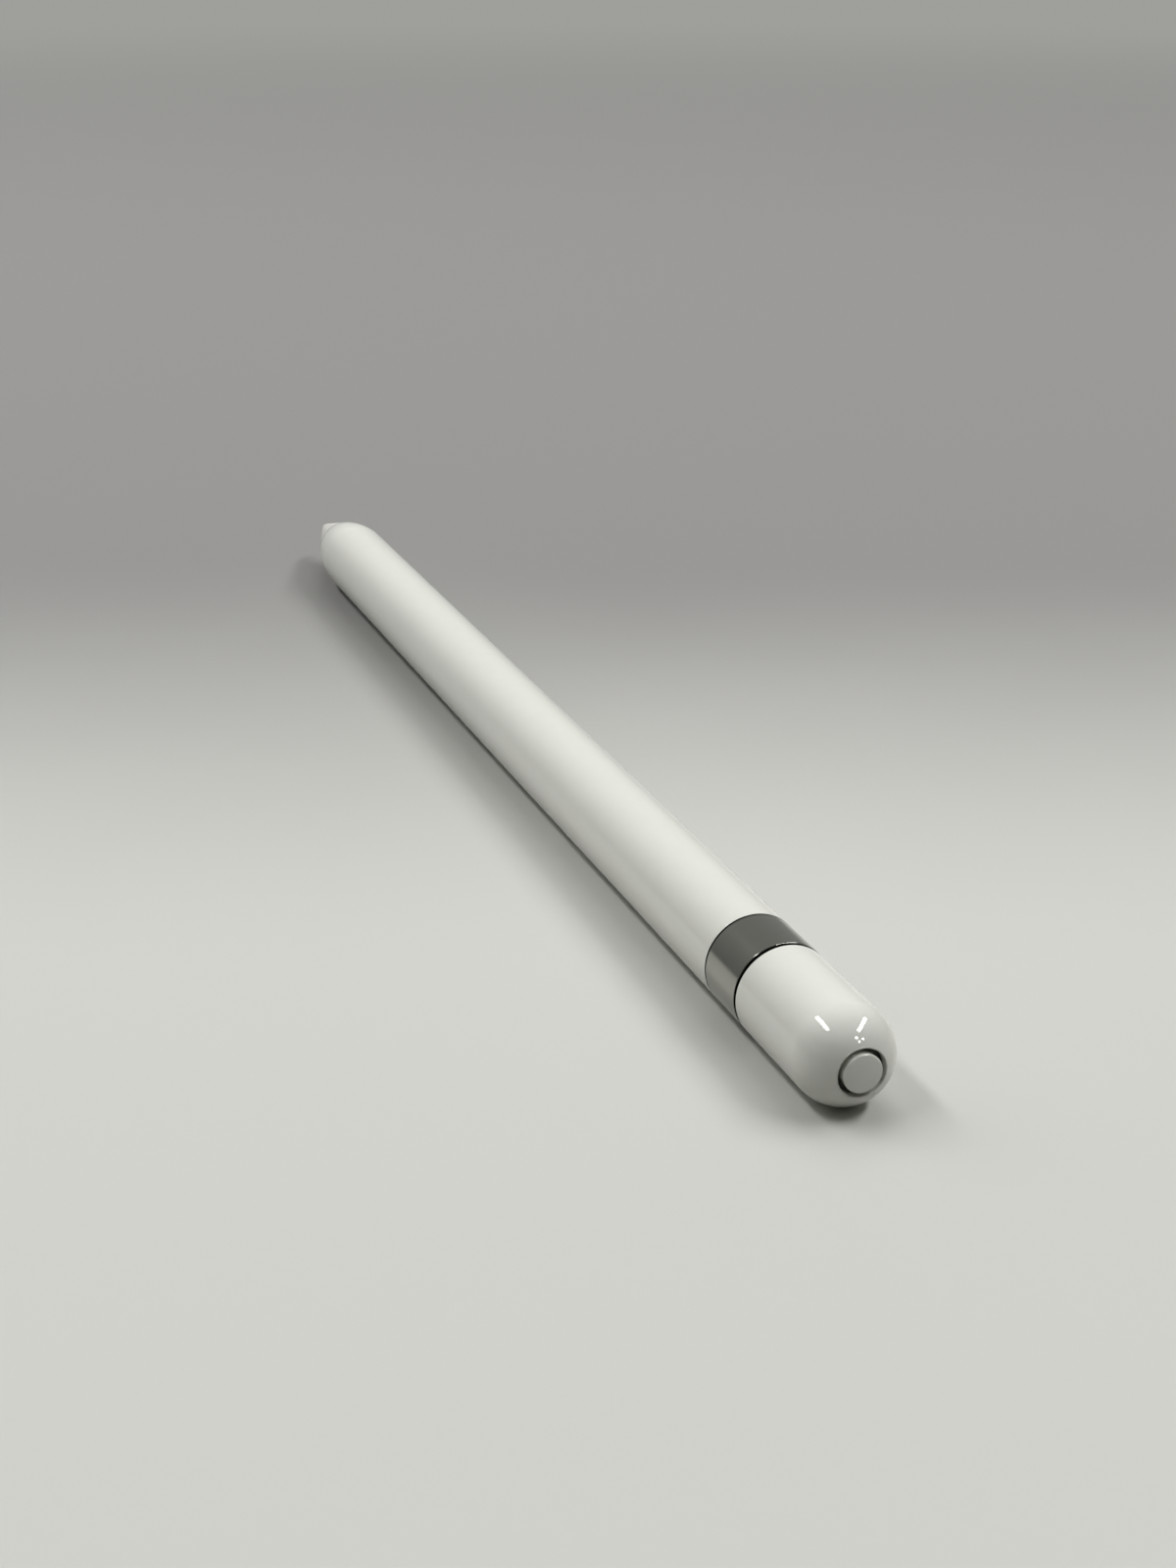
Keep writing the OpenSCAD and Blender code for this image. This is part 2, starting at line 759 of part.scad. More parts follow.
// Domed face inside the end ring, with a stem through the cap's end
module cap_end_disc() {
    color("#f2f2ee") lay() turned() {
        intersection() {
            translate([0, z_end_ring]) square([end_disc_r, end_ring_depth + over]);
            translate([0, total_len - disc_dome_r]) circle(r = disc_dome_r);
        }
        translate([0, z_cap_bore_end]) square([stem_d / 2, z_end_ring - z_cap_bore_end]);
    }
}

nib_shell();
nib_insert();
tip_shaft();
shaft_nut();
barrel_tube();
nose_bush();
ring_electrode();
sensor_sleeve();
force_flexure();
clamp_ring();
sensor_board();
sensor_retainer();
tip_flex();
chassis_trough();
board_carrier();
lower_board();
upper_board();
board_flex();
board_chips();
shield_can();
battery_cell();
battery_insulators();
battery_tabs();
antenna_film();
plug_flex();
plug_housing();
steel_band();
plug_shell();
plug_insert();
plug_contacts();
cap_shell();
cap_magnet();
cap_end_ring();
cap_end_disc();
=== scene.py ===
"""Tablet stylus: fine surfaces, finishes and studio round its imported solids."""

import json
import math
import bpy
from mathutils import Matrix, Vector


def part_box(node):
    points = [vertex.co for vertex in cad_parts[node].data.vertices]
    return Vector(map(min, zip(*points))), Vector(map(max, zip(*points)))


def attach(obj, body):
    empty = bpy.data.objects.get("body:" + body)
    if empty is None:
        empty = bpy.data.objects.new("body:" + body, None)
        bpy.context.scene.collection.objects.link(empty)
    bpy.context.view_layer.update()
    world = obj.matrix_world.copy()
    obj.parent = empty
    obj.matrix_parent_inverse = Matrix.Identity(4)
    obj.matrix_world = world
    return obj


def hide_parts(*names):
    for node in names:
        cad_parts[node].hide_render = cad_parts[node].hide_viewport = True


bl_info = {
    "name": "Tablet stylus",
    "version": (1, 0, 0),
    "blender": (4, 5, 0),
    "location": "View3D > Sidebar > Stylus",
    "description": "Turned and moulded surfaces, finishes and studio of a round tablet stylus",
    "category": "Object",
}

from collections import namedtuple

import bpy
import numpy as np
from bpy.props import FloatProperty, FloatVectorProperty, IntProperty, PointerProperty
from mathutils import Matrix, Vector

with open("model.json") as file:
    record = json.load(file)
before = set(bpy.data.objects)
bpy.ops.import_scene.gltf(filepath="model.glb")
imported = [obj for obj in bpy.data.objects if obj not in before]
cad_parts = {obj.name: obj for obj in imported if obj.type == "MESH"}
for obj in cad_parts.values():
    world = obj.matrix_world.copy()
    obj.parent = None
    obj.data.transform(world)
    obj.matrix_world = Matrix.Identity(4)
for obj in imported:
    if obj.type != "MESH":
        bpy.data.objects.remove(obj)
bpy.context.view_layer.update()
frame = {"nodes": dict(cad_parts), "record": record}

MM = 0.001
# Distance from an edge to the row that keeps the flat beside it flat in smooth shading
GUARD = 0.03 * MM
# Points of an outline that are closer than this are one point
SAME_POINT = 1e-8
# Keeps a division by nothing finite
TINY = 1e-9
# Largest half turn of a corner, because the tangent of more runs away
MOST_TURN = math.radians(80)
# Rows of points in one pitch of a thread
TURN_ROWS = 12
# Share of the end disc's face that its dome covers before the rim's rounding begins
DOME_SHARE = 0.85
BODY_OF = {n: body for body, nodes in frame["record"]["behaviour"]["bodies"].items() for n in nodes}
SLOT_OF = {part["node"]: part["material_slot"] for part in frame["record"]["subparts"]}
BODY_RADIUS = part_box("barrel_tube")[1].y
# The pen lies on the floor, so its axis is one radius up
AXIS_Z = BODY_RADIUS


def linear(colour):
    """Linear RGB of an sRGB hex colour, by the standard's two-part curve."""
    s = np.array([int(colour[i:i + 2], 16) for i in (1, 3, 5)]) / 255
    return tuple(np.where(s <= 0.04045, s / 12.92, ((s + 0.055) / 1.055) ** 2.4).tolist())


def ends(node):
    """Where a CAD node starts and ends along the pen."""
    low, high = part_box(node)
    return low.x, high.x


def radius(node):
    """Radius of a CAD node about the pen's axis, on the side where its mesh reaches furthest."""
    low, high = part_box(node)
    return max(high.y, -low.y, high.z - AXIS_Z, AXIS_Z - low.z)


# Finishes. Each one has two patterns: stains, which vary the roughness, and a grain, which varies the
# colour and the relief. Their sizes along X, Y and Z are real millimetres, and a size that is long in
# one direction draws streaks along it. The relief is in millimetres too. A plastic has its own
# refractive index, and a metal keeps the shader's default.
Finish = namedtuple("Finish", "name light dark metallic ior rough stain grain relief")

FINISHES = {
    # Injection-moulded polycarbonate: a warm white with sharp reflections, faint moulding ripple and
    # dull patches where it is held
    "white_gloss": Finish("Gloss polycarbonate", "#EFF0E8", "#EBECE3", 0, 1.58, (0.04, 0.09), (9, 9, 9),
                          (1.6, 1.6, 1.6), 0.0004),
    # Acetal, tumbled: white with a softer shine, rubbed duller in use
    "nib_white": Finish("Tumbled acetal", "#EEEDE6", "#E9E7DF", 0, 1.48, (0.23, 0.31), (4, 4, 4),
                        (0.35, 0.35, 0.35), 0.0003),
    # Stainless steel, turned and polished: a dark mirror with fine lines round the pen. Real lines are
    # about 0.03 mm apart. They are drawn at 0.16 mm, because finer ones would not show
    "polished_steel": Finish("Polished stainless steel", "#9F9F98", "#94948F", 1, None, (0.12, 0.17),
                             (3, 3, 3), (0.16, 60, 60), 0.0003),
    # Nickel plate on steel, tumbled: pale and satin
    "plug_steel": Finish("Satin nickel plate", "#C9C7C1", "#B8B6B0", 1, None, (0.26, 0.36), (1.5, 1.5, 1.5),
                         (0.12, 0.12, 0.12), 0.0008),
    # Stainless steel, turned: bright lines round the shaft, drawn at 0.1 mm, because finer ones would
    # not show
    "turned_steel": Finish("Turned stainless steel", "#B4B5B7", "#8F9093", 1, None, (0.22, 0.34), (2, 2, 2),
                           (0.1, 30, 30), 0.002),
    # Spring steel, etched from rolled sheet: a dull grey
    "spring_steel": Finish("Etched spring steel", "#A8AAAD", "#8E9094", 1, None, (0.35, 0.5), (1, 1, 1),
                           (20, 0.08, 0.4), 0.001),
    # Brass, turned from bar: yellow with bright lines round it
    "brass": Finish("Turned brass", "#D2AC58", "#A98238", 1, None, (0.2, 0.32), (1, 1, 1),
                    (0.1, 30, 30), 0.002),
    # Copper, bare and handled: warm with darker stains
    "copper": Finish("Bare copper", "#C98A5F", "#9A5E3C", 1, None, (0.25, 0.42), (2, 2, 2),
                     (0.5, 0.5, 0.5), 0.001),
    # Aluminium, machined: pale with fine lines round it
    "sleeve_alloy": Finish("Machined aluminium", "#C4C6C8", "#A5A8AB", 1, None, (0.28, 0.4), (2, 2, 2),
                           (0.12, 30, 30), 0.002),
    # Stainless sheet, rolled: long streaks along the pen
    "trough_steel": Finish("Rolled stainless sheet", "#AAACAE", "#909295", 1, None, (0.3, 0.45), (5, 5, 5),
                           (30, 0.15, 0.15), 0.001),
    # ABS, moulded with a spark-eroded texture: white and matt
    "white_moulding": Finish("Moulded white ABS", "#E2E1DC", "#D5D4CE", 0, 1.54, (0.38, 0.52), (3, 3, 3),
                             (0.12, 0.12, 0.12), 0.004),
    # Glass-filled nylon, moulded: black and matt with a fine grain
    "black_moulding": Finish("Glass-filled nylon", "#2C2C2E", "#202022", 0, 1.53, (0.4, 0.55), (2, 2, 2),
                             (0.15, 0.15, 0.15), 0.004),
    # Solder mask on glass epoxy: green with the weave showing faintly through
    "board_green": Finish("Solder mask on glass epoxy", "#2E6A45", "#225538", 0, 1.55, (0.3, 0.45),
                          (4, 4, 4), (0.5, 0.5, 0.5), 0.003),
    # Epoxy moulding compound: near black and matt
    "chip_black": Finish("Moulded epoxy", "#2A2A2C", "#1C1C1E", 0, 1.55, (0.45, 0.6), (1, 1, 1),
                         (0.06, 0.06, 0.06), 0.003),
    # Tin plate: bright with soft clouds
    "tin_plate": Finish("Tin plate", "#C6C6C3", "#A9AAA8", 1, None, (0.25, 0.45), (1.5, 1.5, 1.5),
                        (0.8, 0.8, 0.8), 0.001),
    # Polyimide film: amber with a dull shine
    "flex_amber": Finish("Polyimide film", "#B57A34", "#99601F", 0, 1.7, (0.3, 0.42), (3, 3, 3),
                         (1.5, 0.3, 0.3), 0.001),
    # PVC shrink sleeve: pale blue with lengthwise creases
    "cell_sleeve": Finish("Shrink sleeve", "#9AB1C4", "#86A0B5", 0, 1.53, (0.25, 0.4), (6, 6, 6),
                          (12, 0.6, 0.6), 0.006),
    # Insulating card: yellow and matt with fibres
    "insulator_yellow": Finish("Insulating card", "#D6B84B", "#C2A238", 0, 1.5, (0.6, 0.75), (1, 1, 1),
                               (0.2, 0.2, 0.2), 0.006),
    # Hard gold plate: rubbed bright where it is wiped in use
    "contact_gold": Finish("Hard gold plate", "#E0BC62", "#C79A3C", 1, None, (0.18, 0.32), (0.4, 0.4, 0.4),
                           (1.5, 0.06, 0.06), 0.001),
    # Nickel plate on a sintered magnet: dark and cloudy
    "magnet_nickel": Finish("Nickel-plated magnet", "#85858A", "#6C6C72", 1, None, (0.24, 0.4), (1, 1, 1),
                            (0.4, 0.4, 0.4), 0.002),
}

# Painted shade: a brown-black, dull colour that stands in for the shadow in the band's narrow seams, on the
# barrel's end face beside the band and on the cap's end ring
PAINTED_SHADE_COLOUR = "#1A1715"
PAINTED_SHADE_ROUGH = 0.8
# The middle part of a noise's values, which spreads over a finish's whole range of roughness
NOISE_SPAN = 0.3, 0.7
NOISE_DETAIL = 3
# Settings of nodes that are used more than once
COLOURS = {"data_type": "RGBA"}
SMOOTH = {"interpolation_type": "SMOOTHSTEP"}


def add(tree, kind, settings=None, inputs=None):
    """Adds one node, sets its properties, and fills its inputs with values or links them to sockets."""
    made = tree.nodes.new(kind)
    for key, value in (settings or {}).items():
        setattr(made, key, value)
    for key, value in (inputs or {}).items():
        if isinstance(value, bpy.types.NodeSocket):
            tree.links.new(value, made.inputs[key])
        else:
            made.inputs[key].default_value = value
    return made


def seen(tree):
    """One for a ray that shows a surface to the camera, straight on, in a mirror or through glass."""
    path = add(tree, "ShaderNodeLightPath").outputs
    mirrored = add(tree, "ShaderNodeMath", {"operation": "MAXIMUM"}, {
        0: path["Is Glossy Ray"], 1: path["Is Transmission Ray"]}).outputs["Value"]
    return add(tree, "ShaderNodeMath", {"operation": "MAXIMUM"}, {
        0: path["Is Camera Ray"], 1: mirrored}).outputs["Value"]


def finish(slot):
    """The material of a slot: colour and relief from the grain, roughness from the stains.

    Where a piece's own attribute for painted shade is 1, as in a narrow seam, the surface is dark and dull:
    painted shade that stands in for the seam's shadow.
    """
    spec = FINISHES[slot]
    known = bpy.data.materials.get(spec.name)
    if known:
        return known
    made = bpy.data.materials.new(spec.name)
    made.use_nodes = True
    tree = made.node_tree
    shader = tree.nodes["Principled BSDF"]
    shader.inputs["Metallic"].default_value = spec.metallic
    if spec.ior:
        shader.inputs["IOR"].default_value = spec.ior
    place = add(tree, "ShaderNodeTexCoord").outputs["Object"]
    noises = []
    for pattern in (spec.stain, spec.grain):
        scaled = add(tree, "ShaderNodeMapping", None,
                     {"Vector": place, "Scale": [1 / (s * MM) for s in pattern]}).outputs["Vector"]
        noises.append(add(tree, "ShaderNodeTexNoise", None,
                          {"Vector": scaled, "Scale": 1, "Detail": NOISE_DETAIL}).outputs["Fac"])
    stain, grain = noises
    rough = add(tree, "ShaderNodeMapRange", None, {
        "Value": stain, "From Min": NOISE_SPAN[0], "From Max": NOISE_SPAN[1],
        "To Min": spec.rough[0], "To Max": spec.rough[1]}).outputs["Result"]
    colour = add(tree, "ShaderNodeMix", COLOURS, {
        "Factor": grain, 6: (*linear(spec.dark), 1), 7: (*linear(spec.light), 1)}).outputs[2]
    # Painted shade: each piece's attribute darkens its seams as if they lay in shadow
    painted_shade = add(tree, "ShaderNodeAttribute", {"attribute_name": "painted_shade"}).outputs["Fac"]
    colour = add(tree, "ShaderNodeMix", COLOURS, {
        "Factor": painted_shade, 6: colour, 7: (*linear(PAINTED_SHADE_COLOUR), 1)}).outputs[2]
    rough = add(tree, "ShaderNodeMix", None, {"Factor": painted_shade, 2: rough, 3: PAINTED_SHADE_ROUGH}).outputs[0]
    bump = add(tree, "ShaderNodeBump", None, {
        "Strength": 1, "Distance": spec.relief * MM, "Height": grain}).outputs["Normal"]
    for socket, name in ((rough, "Roughness"), (colour, "Base Color"), (bump, "Normal")):
        tree.links.new(socket, shader.inputs[name])
    return made


# Outlines and surfaces


def unit(v):
    """Vectors of length one, or nothing where a vector has no length."""
    return v / np.maximum(np.linalg.norm(v, axis=-1, keepdims=True), TINY)


def arc(x, r, bend, start, end, count=40):
    """Corners [x + bend cos a, r + bend sin a, 0] of a circle about (x, r), where the angle a goes from
    start to end in equal steps, in degrees."""
    a = np.radians(np.linspace(start, end, count))
    return np.stack([x + bend * np.cos(a), r + bend * np.sin(a), 0 * a], 1).tolist()


def rounded(corners, steps=7):
    """A half outline whose corners [x, radius, fillet] are rounded.

    An arc of the fillet's radius touches both sides of the corner. One more point on each side, a
    guard's length away, keeps the smooth shading of the arc off the straight sides.
    """
    corners = np.array(corners, float)
    p, fillet = corners[:, :2], corners[:, 2:]
    u = unit(p - np.roll(p, 1, 0))
    v = unit(np.roll(p, -1, 0) - p)
    turn = np.arccos(np.clip((u * v).sum(1, keepdims=True), -1, 1))
    half = np.minimum(turn / 2, MOST_TURN)
    cut = fillet * np.tan(half)
    centre = p + unit(v - u) * fillet / np.cos(half)
    first, last = p - u * cut - centre, p + v * cut - centre
    t = np.linspace(0, 1, steps)
    whole = np.maximum(np.sin(turn), TINY)
    a, b = np.sin((1 - t) * turn) / whole, np.sin(t * turn) / whole
    bend = centre[:, None] + a[..., None] * first[:, None] + b[..., None] * last[:, None]
    reach = cut + GUARD * (fillet > 0)
    points = np.concatenate([(p - u * reach)[:, None], bend, (p + v * reach)[:, None]], 1).reshape(-1, 2)
    apart = np.linalg.norm(points - np.roll(points, 1, 0), axis=1) > SAME_POINT
    return points[apart]


def angles(sides):
    """Angles in equal steps round one turn, from 0 on the pen's +Y side."""
    return np.linspace(0, 2 * math.pi, sides, endpoint=False)


def lathe(x, r, sides):
    """Grid of an outline turned about the pen: (x, r cos a, axis + r sin a) at each point and angle."""
    a = angles(sides)
    x, r = x[:, None] + 0 * a, np.reshape(r, (len(x), -1)) + 0 * a
    return np.stack([x, r * np.cos(a), AXIS_Z + r * np.sin(a)], -1)


def piece(name, node, grid, ring=True, painted_shade=None):
    """A mesh object from a grid of points that stands for a CAD node.

    Each row of the grid closes on itself. The rows join up where ring is true. Otherwise the first
    and the last row are poles, each one point. The faces are turned outwards by the sign of the
    volume that they enclose. The painted shade, which darkens a seam as if it lay in shadow, is a value for
    each row.
    """
    rows, sides = grid.shape[:2]
    k = np.arange(rows * sides).reshape(rows, sides)
    if ring:
        k = np.concatenate([k, k[:1]])
    else:
        k[0], k[-1] = k[0, 0], k[-1, 0]
    beside = np.roll(k, -1, 1)
    quads = np.stack([k[:-1], beside[:-1], beside[1:], k[1:]], -1)
    tris = np.zeros((0, 3), int)
    if not ring:
        tris = np.concatenate([quads[0][:, [0, 2, 3]], quads[-1][:, :3]])
        quads = quads[1:-1]
    quads = quads.reshape(-1, 4)
    points = grid.reshape(-1, 3)
    corners = points[np.concatenate([tris, quads[:, :3], quads[:, [0, 2, 3]]])] - points.mean(0)
    if np.einsum("ij,ij->", corners[:, 0], np.cross(corners[:, 1], corners[:, 2])) < 0:
        quads, tris = quads[:, ::-1], tris[:, ::-1]
    used, loops = np.unique(np.concatenate([quads.ravel(), tris.ravel()]), return_inverse=True)
    starts = np.concatenate([np.arange(len(quads)) * 4, quads.size + np.arange(len(tris)) * 3])
    mesh = bpy.data.meshes.new(name)
    mesh.vertices.add(len(used))
    mesh.vertices.foreach_set("co", points[used].astype(np.float32).ravel())
    mesh.loops.add(len(loops))
    mesh.loops.foreach_set("vertex_index", loops.astype(np.int32).ravel())
    mesh.polygons.add(len(starts))
    mesh.polygons.foreach_set("loop_start", starts.astype(np.int32))
    mesh.update(calc_edges=True)
    mesh.shade_smooth()
    if painted_shade is not None:
        layer = mesh.attributes.new("painted_shade", "FLOAT", "POINT")
        layer.data.foreach_set("value", np.repeat(painted_shade, sides)[used].astype(np.float32))
    made = bpy.data.objects.new(name, mesh)
    bpy.context.scene.collection.objects.link(made)
    mesh.materials.append(finish(SLOT_OF[node]))
    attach(made, BODY_OF[node])
    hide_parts(node)
    return made


def turned(name, node, corners, sides, ring=True, painted_shade=None):
    """A piece turned from a rounded half outline. The painted shade is a function that gives a value for
    arrays of x and radius.
    """
    x, r = rounded(corners).T
    return piece(name, node, lathe(x, r, sides), ring, painted_shade and painted_shade(x, r))


def groove(x, start, end, pitch, sides):
    """Depth of a thread, from 0 on its crest to 1 in its root.

    It is a triangle wave along the pen that moves on by one pitch in each turn, and it runs out over one
    pitch at both ends.
    """
    phase = x[:, None] / pitch - angles(sides) / (2 * math.pi)
    wave = np.abs(2 * (phase - np.floor(phase)) - 1)
    run_out = np.clip(np.minimum(x - start, end - x) / pitch, 0, 1)
    return wave * run_out[:, None]


def taper(shape):
    """Slope of the nose: the angle of the line that touches the round point and meets the nib's rear
    edge. It is the rear edge's angle seen from the point's centre, less the angle whose sine is the
    point's radius over the distance between them."""
    start, end = ends("nib_shell")
    run, rise = end - start - shape.point_radius, radius("nib_shell")
    return math.atan2(rise, run) - math.asin(shape.point_radius / math.hypot(run, rise))


def size(label, about, value):
    """A length that a user can change, in metres."""
    return FloatProperty(name=label, description=about, default=value, min=0, unit="LENGTH",
                         subtype="DISTANCE", precision=5)


class StylusShape(bpy.types.PropertyGroup):
    """Sizes of the surfaces that the frame's boxes don't give."""

    sides: IntProperty(name="Sides", description="Faces round the pen", default=192, min=24)
    point_radius: size("Point radius", "Radius of the nib's round point", 0.8 * MM)
    shoulder_radius: size("Shoulder radius", "Blend between the taper and the barrel", 25 * MM)
    edge: size("Edge", "Rounding of the moulded and turned outer edges", 0.09 * MM)
    inner_edge: size("Inner edge", "Rounding of edges inside bores", 0.05 * MM)
    glue_gap: size("Glue gap", "Radial gap of bonded pieces", 0.05 * MM)
    trim_gap: size("Trim gap", "Gap round pressed trim", 0.03 * MM)
    window_rim: size("Window rim", "Flat that is left between the plug's window and its round sides",
                     0.01 * MM)
    barrel_wall: size("Barrel wall", "Wall of the barrel's straight tube", 0.7 * MM)
    nose_bore: size("Nose bore", "Radius of the bore in the nose", 2.2 * MM)
    collar_length: size("Collar length", "Length of the bush's collar in the barrel's seat", 0.8 * MM)
    boss_length: size("Boss length", "Length of the sensor sleeve's boss", 1.2 * MM)
    band_wall: size("Band wall", "Wall of the steel band", 1.02 * MM)
    band_edge: size("Band edge", "Rounding of the band's edges", 0.06 * MM)
    front_seam: size("Front seam", "Width of the groove between the band and the barrel", 0.2 * MM)
    rear_seam: size("Rear seam", "Width of the groove at the band's rear edge, beside the cap", 0.15 * MM)
    seam_depth: size("Seam depth", "Depth of the grooves at the band's edges", 0.3 * MM)


class StylusThread(bpy.types.PropertyGroup):
    """Sizes of the thread between the nib and its stud."""

    pitch: size("Pitch", "Distance from one thread to the next", 0.4 * MM)
    depth: size("Depth", "Depth of the thread", 0.2 * MM)
    stud_radius: size("Stud radius", "Outer radius of the stud's thread", 1 * MM)
    play: size("Play", "Radial play between the threads", 0.05 * MM)
    room: size("Room", "Room in the nib in front of the stud", 0.4 * MM)
    flange_length: size("Flange", "Thickness of the flange behind the nib", 0.6 * MM)
    shaft_radius: size("Shaft radius", "Radius of the shaft behind the flange", 1.2 * MM)
    pin_radius: size("Pin radius", "Radius of the shaft's rear end", 0.8 * MM)
    pin_length: size("Pin length", "Length of the shaft's rear end", 1.3 * MM)


class StylusCap(bpy.types.PropertyGroup):
    """Sizes of the cap, its end trim and the plug that it covers."""

    wall: size("Cap wall", "Wall of the cap beside the plug", 0.9 * MM)
    mouth_edge: size("Mouth edge", "Rounding of the cap's mouth beside the band", 0.2 * MM)
    bore_corner: size("Bore corner", "Rounding at the end of the cap's bore", 1.5 * MM)
    ring_width: size("Ring width", "Width of the polished end ring", 0.34 * MM)
    ring_drop: size("Ring drop", "Depth of the end ring below the cap's surface", 0.65 * MM)
    # Painted shade: how dark the end ring is painted, so that its deep channel looks to lie in shadow
    ring_painted_shade: FloatProperty(name="Ring grime", description="How dark the end ring is with dirt",
                              subtype="FACTOR", default=0.8, min=0, max=1)
    disc_dome: size("Disc dome", "Radius of the end disc's domed face", 11 * MM)
    disc_edge: size("Disc edge", "Rounding of the end disc's rim", 0.16 * MM)
    stem_radius: size("Stem radius", "Radius of the end disc's stem", 1 * MM)
    spigot_wall: size("Spigot wall", "Wall of the housing round the plug's pocket", 1 * MM)
    web_depth: size("Web", "Solid housing in front of the band", 2 * MM)
    shank_step: size("Shank step", "How much narrower the shank is, on each side", 0.85 * MM)
    corner: size("Plug corner", "Rounding of the plug's front corners", 1.2 * MM)
    front_edge: size("Front edge", "Rounding of the plug's front across its thickness", 0.4 * MM)
    notch_radius: size("Notch radius", "Radius of the latch notches", 0.6 * MM)
    notch_depth: size("Notch depth", "Depth of the latch notches", 0.3 * MM)
    notch_place: size("Notch place", "Distance of the notches from the boss", 1.6 * MM)


class StylusStage(bpy.types.PropertyGroup):
    """Camera, lamps and floor."""

    camera_place: FloatVectorProperty(name="Camera", description="Place of the camera",
                                      subtype="TRANSLATION", unit="LENGTH",
                                      default=(0.23522, -0.0758, 0.0924))
    azimuth: FloatProperty(name="Azimuth", description="Angle of view round the pen, from the side",
                           subtype="ANGLE", unit="ROTATION", default=math.radians(70.29))
    elevation: FloatProperty(name="Elevation", description="Angle of view above the floor",
                             subtype="ANGLE", unit="ROTATION", default=math.radians(21.13))
    lens: FloatProperty(name="Lens", description="Focal length for a 36 mm long side", unit="CAMERA",
                        default=54.18)
    near_floor: FloatVectorProperty(name="Near floor", description="Colour of the floor round the pen",
                                    subtype="COLOR", default=linear("#D1D1CC"))
    far_floor: FloatVectorProperty(name="Far floor", description="Colour of the floor behind the pen",
                                   subtype="COLOR", default=linear("#8F8E8C"))
    # Painted light: far from the pen the floor glows with this colour
    back_floor_glow: FloatVectorProperty(name="Back floor",
                                    description="Colour that the floor shows far from the pen",
                                    subtype="COLOR", default=linear("#969693"))
    floor_reach: size("Floor reach", "Distance from the pen to the floor's sides", 12)
    floor_bounce: FloatProperty(name="Floor bounce",
                                description="Share of the floor's colour that lights the pen",
                                subtype="FACTOR", default=0.56, min=0, max=1)
    room_light: FloatProperty(name="Room light", description="Strength of the light from the room's walls",
                              default=0.01, min=0)
    ceiling_light: FloatProperty(name="Ceiling light", description="Strength of the light from the ceiling",
                                 default=0.36, min=0)
    left_light: FloatProperty(name="Left tube", description="Power of the long lamp on the left",
                              default=4.6, min=0, unit="POWER")
    right_light: FloatProperty(name="Right tube", description="Power of the long lamp on the right",
                               default=6.8, min=0, unit="POWER")
    bulb_light: FloatProperty(name="Bulbs",
                              description="Power of each of three bulbs that glint on the cap",
                              default=1.2, min=0, unit="POWER")
    back_light: FloatProperty(name="Back panel", description="Power of the wide lamp above and behind",
                              default=6.0, min=0, unit="POWER")
    side_light: FloatProperty(name="Side panel",
                              description="Power of the wide lamp on the left, past the nib",
                              default=3.0, min=0, unit="POWER")


class STYLUS_OT_nib(bpy.types.Operator):
    """Nib: a round point, a taper and a bore for its threaded insert"""

    bl_idname = "stylus.nib"
    bl_label = "Nib"

    def execute(self, context):
        shape, thread = context.scene.stylus_shape, context.scene.stylus_thread
        start, end = ends("nib_shell")
        insert = ends("nib_insert")[0]
        bore, hole = radius("nib_insert") + shape.glue_gap, thread.stud_radius + thread.play
        point = shape.point_radius
        turned("nib", "nib_shell", [
            *arc(start + point, 0, point, 180, 90 + math.degrees(taper(shape))),
            [end, radius("nib_shell"), shape.edge],
            [end, bore, shape.inner_edge],
            [insert, bore, 0],
            [insert, hole, 0],
            [insert - thread.room, hole, 0],
            [insert - thread.room, 0, 0],
        ], shape.sides, ring=False)
        return {"FINISHED"}


class STYLUS_OT_threads(bpy.types.Operator):
    """Threaded insert of the nib, and the shaft with the stud that it screws on to"""

    bl_idname = "stylus.threads"
    bl_label = "Threads"

    def execute(self, context):
        shape, thread = context.scene.stylus_shape, context.scene.stylus_thread
        sides = shape.sides // 2
        start, end = ends("nib_insert")
        turn_rows = np.linspace(start, end, int(TURN_ROWS * (end - start) / thread.pitch))
        cut = groove(turn_rows, start, end, thread.pitch, sides)

        outer, inner = radius("nib_insert"), thread.stud_radius + thread.play
        back = rounded([[start, inner, 0], [start, outer, shape.inner_edge],
                        [end, outer, shape.inner_edge], [end, inner, 0]])
        rows = np.concatenate([back[:, 0], turn_rows[-2:0:-1]])
        r = np.concatenate([back[:, 1:] + np.zeros(sides), inner + thread.depth * cut[-2:0:-1]])
        piece("nib_thread_insert", "nib_insert", lathe(rows, r, sides))

        front, rear = ends("tip_shaft")
        flange = end + thread.flange_length
        pin = rear - thread.pin_length
        behind = rounded([
            [end, thread.stud_radius, 0],
            [end, radius("tip_shaft"), shape.inner_edge],
            [flange, radius("tip_shaft"), shape.inner_edge],
            [flange, thread.shaft_radius, 0],
            [pin, thread.shaft_radius, shape.inner_edge],
            [pin, thread.pin_radius, 0],
            [rear, thread.pin_radius, shape.inner_edge],
            [rear, 0, 0],
        ])
        nose = thread.stud_radius - thread.depth
        rows = np.concatenate([[front, front], turn_rows, behind[1:, 0]])
        stud = np.minimum(thread.stud_radius, nose + (turn_rows - front))[:, None] - thread.depth * cut
        r = np.concatenate([np.zeros((1, sides)), np.full((1, sides), nose), np.maximum(stud, nose),
                            behind[1:, 1:] + np.zeros(sides)])
        piece("nib_shaft", "tip_shaft", lathe(rows, r, sides), ring=False)
        return {"FINISHED"}


